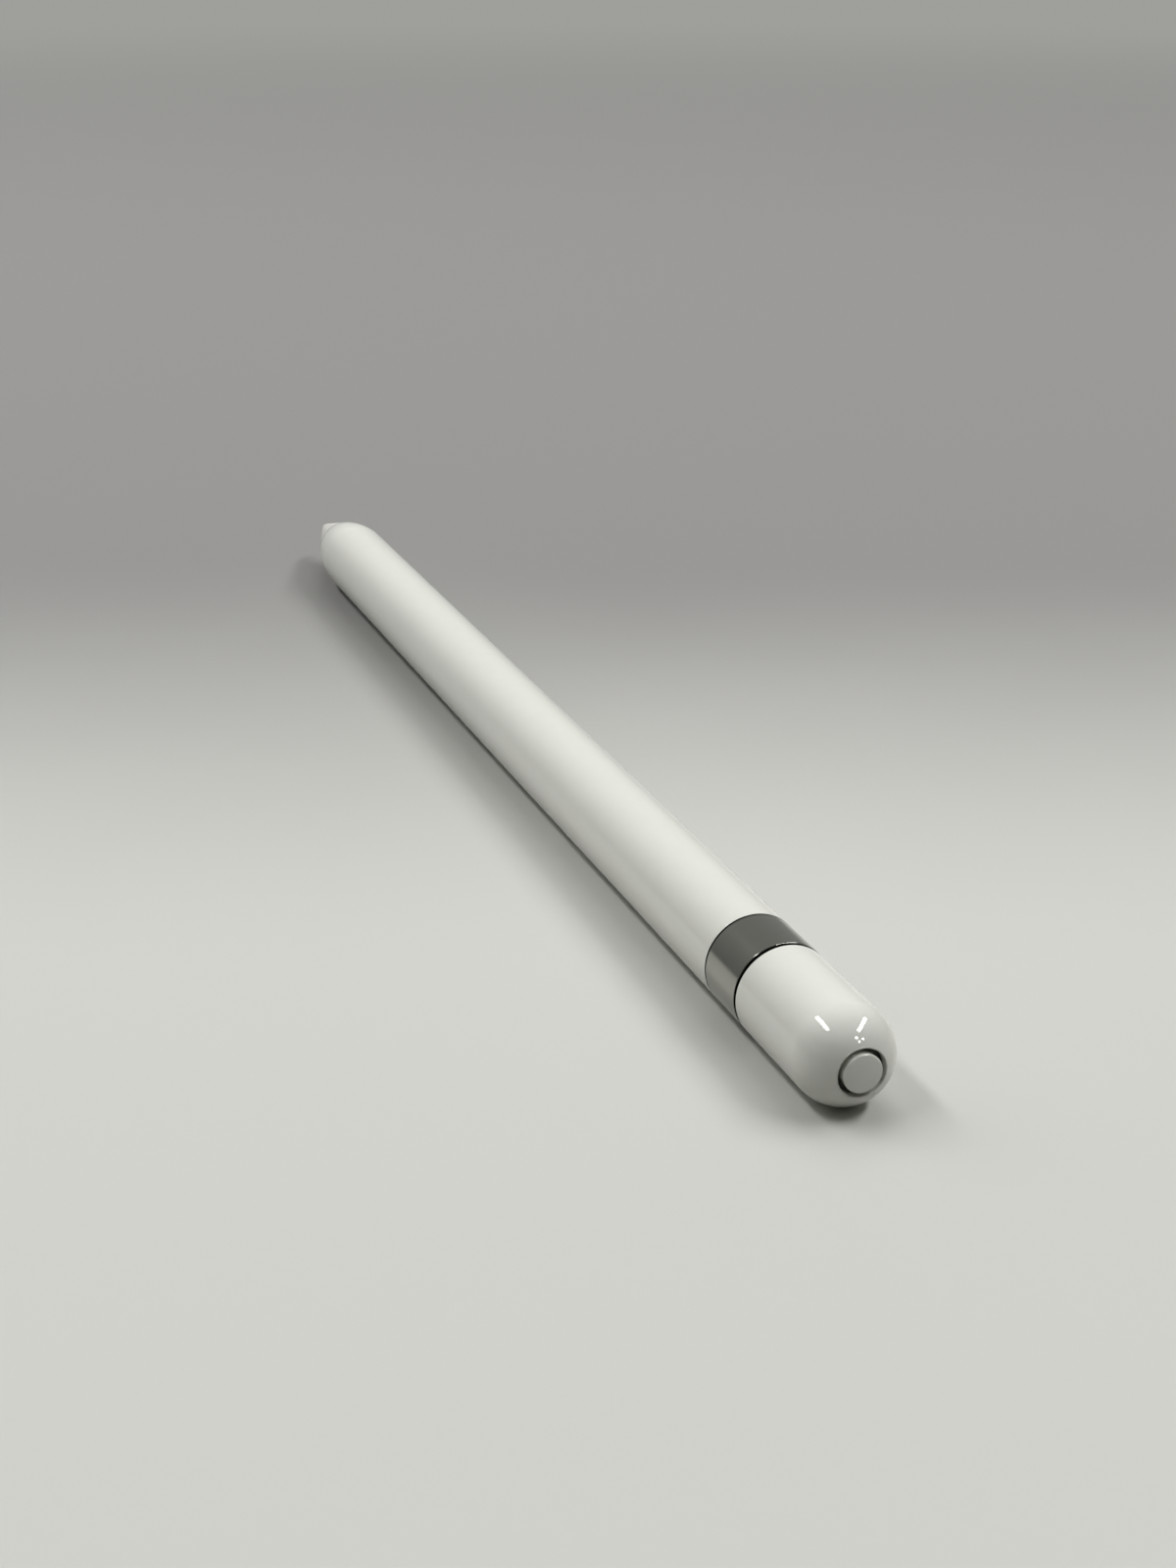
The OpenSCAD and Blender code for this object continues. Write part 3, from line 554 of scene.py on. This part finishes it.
class STYLUS_OT_barrel(bpy.types.Operator):
    """Barrel: a tapered nose, a long blend and a straight tube with its stepped bore"""

    bl_idname = "stylus.barrel"
    bl_label = "Barrel"

    def execute(self, context):
        shape = context.scene.stylus_shape
        start, end = ends("barrel_tube")
        slope = taper(shape)
        nib_end = ends("nib_shell")[1]
        nose = radius("nib_shell") + (start - nib_end) * math.tan(slope)
        corner = nib_end + (BODY_RADIUS - radius("nib_shell")) / math.tan(slope)
        blend = corner + shape.shoulder_radius * math.tan(slope / 2)
        bore = BODY_RADIUS - shape.barrel_wall
        seat = ends("ring_electrode")[0] - shape.collar_length
        sleeve = ends("sensor_sleeve")[0] + shape.boss_length
        seat_radius = radius("ring_electrode") + shape.glue_gap
        # Painted shade: the barrel's end face beside the band is painted dark, standing in for the shadow
        # in the groove
        turned("barrel", "barrel_tube", [
            [start, nose, shape.edge],
            *arc(blend, BODY_RADIUS - shape.shoulder_radius, shape.shoulder_radius,
                 90 + math.degrees(slope), 90, count=48),
            [end, BODY_RADIUS, shape.band_edge],
            [end, bore, shape.inner_edge],
            [sleeve, bore, 0],
            [seat, seat_radius, 0],
            [seat, shape.nose_bore, shape.inner_edge],
            [start, shape.nose_bore, shape.edge],
        ], shape.sides, painted_shade=lambda x, r: x > end - shape.band_edge / 2)
        return {"FINISHED"}


class STYLUS_OT_band(bpy.types.Operator):
    """Steel band between the barrel and the cap, with a narrow groove at each edge"""

    bl_idname = "stylus.band"
    bl_label = "Band"

    def execute(self, context):
        shape = context.scene.stylus_shape
        start, end = ends("steel_band")
        inner = BODY_RADIUS - shape.band_wall
        front, rear = start + shape.front_seam, end - shape.rear_seam
        bottom = BODY_RADIUS - shape.seam_depth
        # Painted shade: the walls of the grooves at the band's edges are painted dark, standing in for the
        # shadow in these seams
        shade_low, shade_high = bottom - shape.band_edge / 2, BODY_RADIUS - shape.band_edge / 2
        turned("band", "steel_band", [
            [start, bottom, 0],
            [front, bottom, 0],
            [front, BODY_RADIUS, shape.band_edge],
            [rear, BODY_RADIUS, shape.band_edge],
            [rear, bottom, 0],
            [end, bottom, 0],
            [end, inner, shape.inner_edge],
            [start, inner, shape.inner_edge],
        ], shape.sides, painted_shade=lambda x, r: (r > shade_low) & (r < shade_high))
        return {"FINISHED"}


class STYLUS_OT_cap(bpy.types.Operator):
    """Cap with its round end and its bore, and the ring magnet in its mouth"""

    bl_idname = "stylus.cap"
    bl_label = "Cap"

    def execute(self, context):
        shape, cap = context.scene.stylus_shape, context.scene.stylus_cap
        mouth, end = ends("cap_shell")
        magnet_start, magnet_end = ends("cap_magnet")
        ring_seat, bore_end = ends("cap_end_ring")[0], ends("cap_end_disc")[0]
        seat = radius("cap_end_ring") + shape.trim_gap
        magnet_seat = radius("cap_magnet") + shape.glue_gap
        stem, bore = cap.stem_radius + shape.trim_gap, BODY_RADIUS - cap.wall
        opening = math.asin(seat / BODY_RADIUS)
        dome = end - BODY_RADIUS * math.cos(opening)
        turned("cap", "cap_shell", [
            [mouth, BODY_RADIUS, cap.mouth_edge],
            *arc(dome, 0, BODY_RADIUS, 90, math.degrees(opening), count=64)[:-1],
            [end, seat, shape.inner_edge],
            [ring_seat, seat, 0],
            [ring_seat, stem, 0],
            [bore_end, stem, 0],
            [bore_end, bore, cap.bore_corner],
            [magnet_end, bore, 0],
            [magnet_end, magnet_seat, 0],
            [mouth, magnet_seat, shape.inner_edge],
        ], shape.sides)
        outer = radius("cap_magnet")
        turned("cap_ring_magnet", "cap_magnet", [
            [magnet_start, outer, shape.inner_edge],
            [magnet_end, outer, shape.inner_edge],
            [magnet_end, bore, shape.inner_edge],
            [magnet_start, bore, shape.inner_edge],
        ], shape.sides)
        return {"FINISHED"}


class STYLUS_OT_cap_end(bpy.types.Operator):
    """Polished ring and domed disc in the end of the cap"""

    bl_idname = "stylus.cap_end"
    bl_label = "Cap end"

    def execute(self, context):
        shape, cap = context.scene.stylus_shape, context.scene.stylus_cap
        seat = ends("cap_end_ring")[0]
        bore_end, top = ends("cap_end_disc")
        outer = radius("cap_end_ring")
        inner = outer - cap.ring_width
        opening = math.asin((outer + shape.trim_gap) / BODY_RADIUS)
        dome = ends("cap_shell")[1] - BODY_RADIUS * math.cos(opening)
        ball = BODY_RADIUS - cap.ring_drop
        # Painted shade: the whole ring is painted dark, standing in for the shadow at the bottom of its
        # channel
        turned("cap_trim_ring", "cap_end_ring", [
            [seat, outer, 0],
            [dome + math.sqrt(ball ** 2 - outer ** 2), outer, shape.inner_edge],
            [dome + math.sqrt(ball ** 2 - inner ** 2), inner, shape.inner_edge],
            [seat, inner, 0],
        ], shape.sides, painted_shade=lambda x, r: np.full(len(x), cap.ring_painted_shade))
        rim = inner - shape.trim_gap
        lean = math.asin(rim / cap.disc_dome)
        turned("cap_trim_disc", "cap_end_disc", [
            *arc(top - cap.disc_dome, 0, cap.disc_dome, 0, math.degrees(lean) * DOME_SHARE, count=24),
            [top - cap.disc_dome * (1 - math.cos(lean)), rim, cap.disc_edge],
            [seat, rim, 0],
            [seat, cap.stem_radius, 0],
            [bore_end, cap.stem_radius, 0],
            [bore_end, 0, 0],
        ], shape.sides, ring=False)
        return {"FINISHED"}


class STYLUS_OT_plug(bpy.types.Operator):
    """Plug frame round its contacts, and the housing that holds it"""

    bl_idname = "stylus.plug"
    bl_label = "Plug"

    def execute(self, context):
        shape, cap = context.scene.stylus_shape, context.scene.stylus_cap
        self.housing(shape, cap)
        self.shell(shape, cap)
        return {"FINISHED"}

    def housing(self, shape, cap):
        """Turned outside with a slot: rows of circles, and rows whose radius follows the slot's rectangle.

        At an angle a, that radius is the smaller of half_y / cos a and half_z / sin a, both without sign.
        """
        start, end = ends("plug_housing")
        band = ends("steel_band")[0]
        web = band - cap.web_depth
        spigot = radius("plug_housing")
        neck = BODY_RADIUS - shape.band_wall - shape.trim_gap
        low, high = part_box("plug_shell")
        half_y = high.y - cap.shank_step + shape.trim_gap
        half_z = (high.z - low.z) / 2 + shape.trim_gap
        a = angles(shape.sides)
        lean = math.atan2(half_z, half_y)
        corners = np.array([lean, math.pi - lean, math.pi + lean, 2 * math.pi - lean])
        a[np.abs(a[:, None] - corners).argmin(0)] = corners
        slot = np.minimum(half_y / np.maximum(np.abs(np.cos(a)), TINY),
                          half_z / np.maximum(np.abs(np.sin(a)), TINY))
        pocket = spigot - cap.spigot_wall
        outside = rounded([
            [start, pocket, shape.inner_edge],
            [start, spigot, shape.edge],
            [band, spigot, shape.inner_edge],
            [band, neck, 0],
            [end, neck, 2 * shape.edge],
            [end, half_y, 0],
        ])[:-1]
        x = np.concatenate([outside[:, 0], [end, end, end - shape.inner_edge, web, web, web]])
        one = np.ones_like(a)
        r = np.concatenate([
            outside[:, 1:] * one,
            [slot + 2 * shape.inner_edge, slot + shape.inner_edge, slot, slot, pocket * one, pocket * one],
        ])
        grid = np.stack([x[:, None] * one, r * np.cos(a), AXIS_Z + r * np.sin(a)], -1)
        piece("plug_socket", "plug_housing", grid)

    def shell(self, shape, cap):
        """Plan outline of plug and shank, with a rim carried round it.

        The rim has flat faces that run in to the contact window, and an outer edge that is a half circle
        on the sides and has smaller roundings in front and on the shank. Close to each edge of a flat
        face lies one more row, which keeps its shading flat.
        """
        low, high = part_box("plug_shell")
        window_low, window_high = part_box("plug_insert")
        back = ends("plug_housing")[1]
        half_t = (high.z - low.z) / 2
        half_w, shank = high.y, high.y - cap.shank_step
        tip = high.x
        small, full = shape.inner_edge, half_t - shape.window_rim
        diagonal = 0.7
        beyond = cap.notch_radius - cap.notch_depth
        bite = math.degrees(math.acos(beyond / cap.notch_radius))
        notch_x, notch_y, _ = np.transpose(arc(
            back + cap.notch_place, half_w + beyond, cap.notch_radius, 270 - bite, 270 + bite, count=13))
        front_x, front_y, _ = np.transpose(arc(
            tip - cap.corner, half_w - cap.corner, cap.corner, 90, 0, count=17))
        t = np.linspace(0, 1, len(front_x))
        # One side of the plan from the shank's rear middle to the tip's middle: x, y, edge rounding, the
        # direction in which the rounding runs inwards, and the width that a notch leaves
        side = np.concatenate([np.stack(np.broadcast_arrays(*columns), 1) for columns in (
            (low.x, np.linspace(0, shank, 4)[:-1], small, 1, 0, half_w),
            ([low.x], shank, small, diagonal, -diagonal, half_w),
            (np.linspace(low.x, back, 9)[1:], shank, small, 0, -1, half_w),
            (np.array([back, back + small]), half_w, full, 0, -1, half_w),
            (notch_x, half_w, full, 0, -1, notch_y),
            (np.linspace(window_low.x, tip - cap.corner, 5)[:-1], half_w, full, 0, -1, half_w),
            (front_x, front_y, full + (cap.front_edge - full) * t, -np.sin(t * math.pi / 2),
             -np.cos(t * math.pi / 2), half_w),
            (tip, np.linspace(half_w - cap.corner, 0, 5)[1:], cap.front_edge, -1, 0, half_w),
        )])
        b = np.radians(np.linspace(90, -90, 13))
        rounding = side[:, 2:3]
        rim = side[:, None, :2] + (rounding * (1 - np.cos(b)))[..., None] * side[:, None, 3:5]
        rim[..., 1] = np.minimum(rim[..., 1], side[:, 5:])
        rim_up = (half_t - rounding) * np.sign(b) + rounding * np.sin(b)
        rim = np.concatenate([rim, rim[-2:0:-1] * [1, -1]])
        rim_up = np.concatenate([rim_up, rim_up[-2:0:-1]])
        # Each point of the rim looks towards the window's middle, and meets the window's edge on the way.
        # The points that meet it closest to its corners move into them
        middle = np.array([(window_low.x + window_high.x) / 2, 0])
        half = np.array([(window_high.x - window_low.x) / 2, window_high.y])
        away = rim[:, 0] - middle
        share = np.min(half / np.maximum(np.abs(away), TINY), axis=1)
        window = middle + away * share[:, None]
        corners = middle + half * [(1, 1), (1, -1), (-1, -1), (-1, 1)]
        window[np.linalg.norm(window[:, None] - corners, axis=2).argmin(0)] = corners
        gap = rim[:, 0] - window
        guard = gap * np.minimum(1 / 3, GUARD / np.linalg.norm(gap, axis=1, keepdims=True))
        face = np.stack([window, window + guard, rim[:, 0] - guard], 1)
        face_up = np.full((len(rim), 3), half_t)
        flat = np.concatenate([face, rim, face[:, ::-1]], 1)
        up = np.concatenate([face_up, rim_up, -face_up], 1)
        grid = np.concatenate([flat, (AXIS_Z + up)[..., None]], -1)
        piece("plug_frame", "plug_shell", grid)


class STYLUS_OT_inner_pieces(bpy.types.Operator):
    """Finishes of the pieces that keep their solids' shapes"""

    bl_idname = "stylus.inner_pieces"
    bl_label = "Inner pieces"

    def execute(self, context):
        for node, made in frame["nodes"].items():
            if not made.hide_render:
                made.data.materials.clear()
                made.data.materials.append(finish(SLOT_OF[node]))
        return {"FINISHED"}


# Lamps, each a strip from one end to the other, in metres
Lamp = namedtuple("Lamp", "start end width")
LEFT_TUBE = Lamp((-0.886, -0.481, 0.9), (0.135, -0.522, 0.9), 0.13)
RIGHT_TUBE = Lamp((-0.17, 1.016, 1.0), (0.565, 0.436, 1.0), 0.13)
BACK_PANEL = Lamp((-1.3, 0.35, 1.2), (-0.2, 0.35, 1.2), 0.8)
SIDE_PANEL = Lamp((-1.6, -0.8, 0.7), (-0.5, -0.8, 0.7), 0.6)
BULB_SIZE = 0.1
BULBS = (0.879, 0.273, 0.994), (0.879, 0.559, 0.877), (1.009, 0.351, 0.851)

# Direction of the room's brightest part, and the heights along it between which the light grows
CEILING = -0.75, 0.25, 0.61
CEILING_SPAN = -0.2, 1
ROOM_TINT = 1, 0.99, 0.97
# Spans of a direction's Z and X between the room's light and the colour of the floor's far parts
LOW_SPAN = 0.2, 0.5
SIDE_SPAN = -0.7, -0.3

# The floor's near colour gives way to its far colour over the first of these distances, from the foot of
# the camera's place, and both give way to an even painted glow over the second, from the pen's middle, in
# metres
FADE_SPAN = 0.2, 0.34
GLOW_SPAN = 0.5, 1.4
PAPER_ROUGH = 0.7
# Cloudiness of the paper: clouds in a metre, their detail, and how far they shift the fade, in metres
CLOUDS = 12
CLOUD_DETAIL = 4
CLOUD_SHIFT = 0.02
# The camera sees nothing closer than this, in metres
NEAREST = 0.01


class STYLUS_OT_stage(bpy.types.Operator):
    """Floor, lamps, room light and camera"""

    bl_idname = "stylus.stage"
    bl_label = "Stage"

    def execute(self, context):
        scene, stage = context.scene, context.scene.stylus_stage
        self.floor(stage)
        self.lamp("left_tube", LEFT_TUBE, stage.left_light)
        self.lamp("right_tube", RIGHT_TUBE, stage.right_light)
        back = self.lamp("back_panel", BACK_PANEL, stage.back_light)
        side = self.lamp("side_panel", SIDE_PANEL, stage.side_light)
        back.visible_glossy = side.visible_glossy = False
        for k, (x, y, z) in enumerate(BULBS):
            strip = Lamp((x, y, z), (x, y + BULB_SIZE, z), BULB_SIZE)
            bulb = self.lamp("bulb_%d" % k, strip, stage.bulb_light)
            bulb.visible_diffuse = False
        self.room(scene, stage)
        view = bpy.data.cameras.new("camera")
        view.lens = stage.lens
        view.clip_start = NEAREST
        camera = bpy.data.objects.new("camera", view)
        camera.location = stage.camera_place
        camera.rotation_euler = (math.pi / 2 - stage.elevation, 0, stage.azimuth)
        scene.collection.objects.link(camera)
        scene.camera = camera
        scene.view_settings.view_transform = "Standard"
        return {"FINISHED"}

    def room(self, scene, stage):
        """Light from all round: dim behind the camera, and growing towards the ceiling behind the pen.

        Low down, except behind the pen, it shows the colour of the floor's far parts, and lights nothing
        with it.
        """
        world = scene.world or bpy.data.worlds.new("Room")
        scene.world = world
        world.use_nodes = True
        tree = world.node_tree
        place = add(tree, "ShaderNodeTexCoord").outputs["Generated"]
        height = add(tree, "ShaderNodeVectorMath", {"operation": "DOT_PRODUCT"}, {
            0: place, 1: CEILING}).outputs["Value"]
        glow = add(tree, "ShaderNodeMapRange", SMOOTH, {
            "Value": height, "From Min": CEILING_SPAN[0], "From Max": CEILING_SPAN[1],
            "To Min": stage.room_light, "To Max": stage.ceiling_light}).outputs["Result"]
        light = add(tree, "ShaderNodeVectorMath", {"operation": "SCALE"}, {
            0: ROOM_TINT, "Scale": glow}).outputs["Vector"]
        axes = add(tree, "ShaderNodeSeparateXYZ", None, {"Vector": place}).outputs
        low = add(tree, "ShaderNodeMapRange", SMOOTH, {
            "Value": axes["Z"], "From Min": LOW_SPAN[0], "From Max": LOW_SPAN[1],
            "To Min": 1, "To Max": 0}).outputs["Result"]
        this_side = add(tree, "ShaderNodeMapRange", SMOOTH, {
            "Value": axes["X"], "From Min": SIDE_SPAN[0], "From Max": SIDE_SPAN[1],
            "To Max": seen(tree)}).outputs["Result"]
        share = add(tree, "ShaderNodeMath", {"operation": "MULTIPLY"}, {
            0: low, 1: this_side}).outputs["Value"]
        shown = add(tree, "ShaderNodeMix", COLOURS, {
            "Factor": share, 6: light, 7: (*stage.back_floor_glow, 1)}).outputs[2]
        tree.links.new(shown, tree.nodes["Background"].inputs["Color"])

    def floor(self, stage):
        """A flat sheet that reaches to the horizon.

        Its colour goes from near to far along the floor, in the direction of the main view, and it looks
        paler than the light that it throws on the pen. Far from the pen, where the lamps don't reach, it
        has no colour of its own and glows evenly instead, a painted light that only the camera and
        reflections see.
        """
        corners = np.array([(-1, -1, 0), (1, -1, 0), (1, 1, 0), (-1, 1, 0)]) * stage.floor_reach
        mesh = bpy.data.meshes.new("floor")
        mesh.from_pydata(corners.tolist(), [], [range(len(corners))])
        paper = bpy.data.materials.new("Graduated backdrop paper")
        paper.use_nodes = True
        tree = paper.node_tree
        shader = tree.nodes["Principled BSDF"]
        shader.inputs["Roughness"].default_value = PAPER_ROUGH
        place = add(tree, "ShaderNodeTexCoord").outputs["Object"]
        foot = add(tree, "ShaderNodeVectorMath", {"operation": "SUBTRACT"}, {
            0: place, 1: (*stage.camera_place[:2], 0)}).outputs["Vector"]
        ahead = (-math.sin(stage.azimuth), math.cos(stage.azimuth), 0)
        away = add(tree, "ShaderNodeVectorMath", {"operation": "DOT_PRODUCT"}, {
            0: foot, 1: ahead}).outputs["Value"]
        cloud = add(tree, "ShaderNodeTexNoise", None, {
            "Vector": place, "Scale": CLOUDS, "Detail": CLOUD_DETAIL}).outputs["Fac"]
        ragged = add(tree, "ShaderNodeMath", {"operation": "MULTIPLY_ADD"}, {
            0: cloud, 1: CLOUD_SHIFT, 2: away}).outputs["Value"]
        fade = add(tree, "ShaderNodeMapRange", SMOOTH, {
            "Value": ragged, "From Min": FADE_SPAN[0], "From Max": FADE_SPAN[1]}).outputs["Result"]
        shown = add(tree, "ShaderNodeMix", COLOURS, {
            "Factor": fade, 6: (*stage.near_floor, 1), 7: (*stage.far_floor, 1)}).outputs[2]
        visible = seen(tree)
        share = add(tree, "ShaderNodeMapRange", None, {
            "Value": visible, "To Min": stage.floor_bounce, "To Max": 1}).outputs["Result"]
        colour = add(tree, "ShaderNodeVectorMath", {"operation": "SCALE"}, {
            0: shown, "Scale": share}).outputs["Vector"]
        reach = add(tree, "ShaderNodeVectorMath", {"operation": "LENGTH"}, {0: place}).outputs["Value"]
        painted_glow_share = add(tree, "ShaderNodeMapRange", SMOOTH, {
            "Value": reach, "From Min": GLOW_SPAN[0], "From Max": GLOW_SPAN[1]}).outputs["Result"]
        colour = add(tree, "ShaderNodeMix", COLOURS, {
            "Factor": painted_glow_share, 6: colour, 7: (0, 0, 0, 1)}).outputs[2]
        # Painted light: the far floor glows for camera and mirror rays, though it is no lamp
        glow_strength = add(tree, "ShaderNodeMath", {"operation": "MULTIPLY"}, {
            0: painted_glow_share, 1: visible}).outputs["Value"]
        tree.links.new(colour, shader.inputs["Base Color"])
        shader.inputs["Emission Color"].default_value = (*stage.back_floor_glow, 1)
        tree.links.new(glow_strength, shader.inputs["Emission Strength"])
        mesh.materials.append(paper)
        made = bpy.data.objects.new("floor", mesh)
        bpy.context.scene.collection.objects.link(made)

    def lamp(self, name, strip, power):
        """A rectangular lamp along a strip. Its width is square to the strip and to the line from the
        pen's middle, so it faces the pen."""
        start, end = Vector(strip.start), Vector(strip.end)
        light = bpy.data.lights.new(name, "AREA")
        light.shape = "RECTANGLE"
        light.size, light.size_y = (end - start).length, strip.width
        light.energy = power
        made = bpy.data.objects.new(name, light)
        made.location = (start + end) / 2
        along = (end - start).normalized()
        across = made.location.cross(along).normalized()
        made.rotation_euler = Matrix((along, across, along.cross(across))).transposed().to_euler()
        bpy.context.scene.collection.objects.link(made)
        return made


class STYLUS_PT_panel(bpy.types.Panel):
    """Sizes and steps of the stylus"""

    bl_idname = "STYLUS_PT_panel"
    bl_label = "Tablet stylus"
    bl_space_type = "VIEW_3D"
    bl_region_type = "UI"
    bl_category = "Stylus"

    def draw(self, context):
        for group in GROUPS:
            box = self.layout.box()
            values = getattr(context.scene, group)
            for key in values.__annotations__:
                box.prop(values, key)
        for step in STEPS:
            self.layout.operator(step.bl_idname)


GROUPS = {"stylus_shape": StylusShape, "stylus_thread": StylusThread, "stylus_cap": StylusCap,
          "stylus_stage": StylusStage}
STEPS = (STYLUS_OT_nib, STYLUS_OT_threads, STYLUS_OT_barrel, STYLUS_OT_band, STYLUS_OT_cap,
         STYLUS_OT_cap_end, STYLUS_OT_plug, STYLUS_OT_inner_pieces, STYLUS_OT_stage)


def register():
    """Registers the classes, and gives the scene its groups of sizes."""
    for kind in (*GROUPS.values(), *STEPS, STYLUS_PT_panel):
        bpy.utils.register_class(kind)
    for key, kind in GROUPS.items():
        setattr(bpy.types.Scene, key, PointerProperty(type=kind))


def unregister():
    """Takes back what register did, in the opposite order."""
    for key in GROUPS:
        delattr(bpy.types.Scene, key)
    for kind in (STYLUS_PT_panel, *reversed(STEPS), *GROUPS.values()):
        bpy.utils.unregister_class(kind)


def main():
    """Makes every piece and the stage."""
    register()
    for step in STEPS:
        module, name = step.bl_idname.split(".")
        getattr(getattr(bpy.ops, module), name)()


if __name__ == "__main__":
    main()
